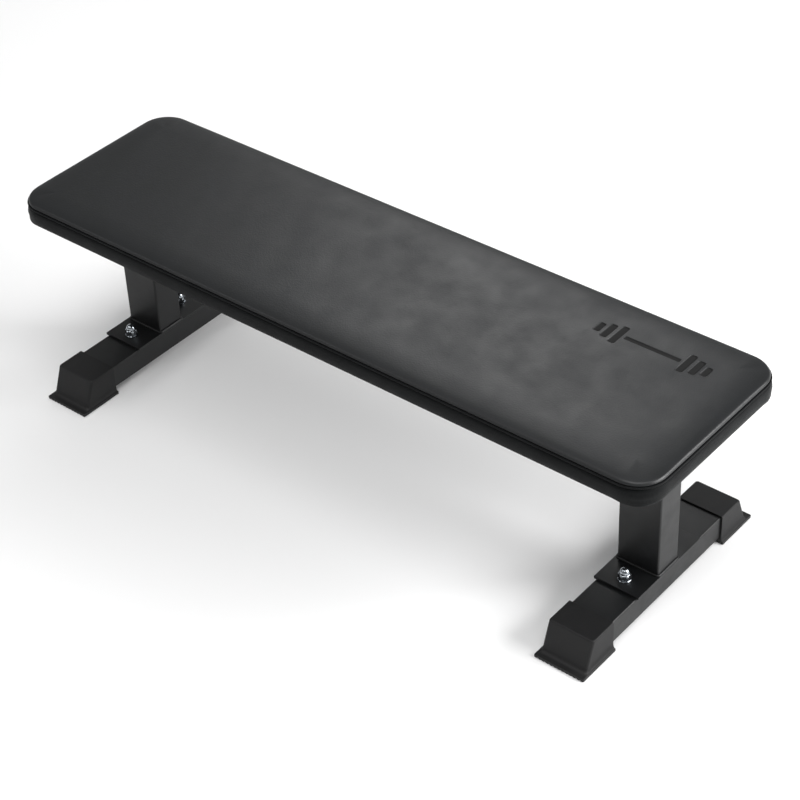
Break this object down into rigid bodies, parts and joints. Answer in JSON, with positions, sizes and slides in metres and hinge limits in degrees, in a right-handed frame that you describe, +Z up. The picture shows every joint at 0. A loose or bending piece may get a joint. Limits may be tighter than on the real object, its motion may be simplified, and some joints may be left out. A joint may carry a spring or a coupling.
{
  "type": "flat weight bench",
  "caption": "Flat weight bench: a long padded board with rounded corners on a steel rail, upright posts and cross feet with rubber boots.",
  "frame": {"origin": "on the floor under the middle of the bench", "axes": "+X along the pad's length, +Z up, -Y towards the front long side"},
  "size_m": [1.1808, 0.4282, 0.341],
  "materials": {
    "leatherette": "smooth black leatherette, fine grain, soft sheen",
    "band_vinyl": "black vinyl with a fine embossed weave",
    "foam": "closed under the cover, polyurethane foam, matte",
    "plywood": "plain plywood, unfinished",
    "dust_cloth": "thin black non-woven cloth",
    "powder_coat": "black powder coat, satin, slight texture",
    "rubber": "moulded black rubber, matte",
    "cap_plastic": "moulded black plastic",
    "zinc": "bright zinc plate"
  },
  "bodies": {
    "root": {"cover_top_panel": "leatherette", "cover_welt": "leatherette", "cover_side_band": "band_vinyl", "pad_foam": "foam", "pad_board": "plywood", "dust_cover": "dust_cloth", "main_rail": "powder_coat", "left_rail_end_cap": "cap_plastic", "left_pad_bracket": "powder_coat", "left_post": "powder_coat", "left_base_plate": "powder_coat", "left_foot_tube": "powder_coat", "left_front_boot": "rubber", "left_front_foot_bolt": "zinc", "left_front_nut_washer": "zinc", "left_front_dome_nut": "zinc", "left_front_pad_bolt": "zinc", "left_front_pad_washer": "zinc", "left_front_t_nut": "zinc", "left_rear_boot": "rubber", "left_rear_foot_bolt": "zinc", "left_rear_nut_washer": "zinc", "left_rear_dome_nut": "zinc", "left_rear_pad_bolt": "zinc", "left_rear_pad_washer": "zinc", "left_rear_t_nut": "zinc", "right_rail_end_cap": "cap_plastic", "right_pad_bracket": "powder_coat", "right_post": "powder_coat", "right_base_plate": "powder_coat", "right_foot_tube": "powder_coat", "right_front_boot": "rubber", "right_front_foot_bolt": "zinc", "right_front_nut_washer": "zinc", "right_front_dome_nut": "zinc", "right_front_pad_bolt": "zinc", "right_front_pad_washer": "zinc", "right_front_t_nut": "zinc", "right_rear_boot": "rubber", "right_rear_foot_bolt": "zinc", "right_rear_nut_washer": "zinc", "right_rear_dome_nut": "zinc", "right_rear_pad_bolt": "zinc", "right_rear_pad_washer": "zinc", "right_rear_t_nut": "zinc"}
  },
  "joints": []
}
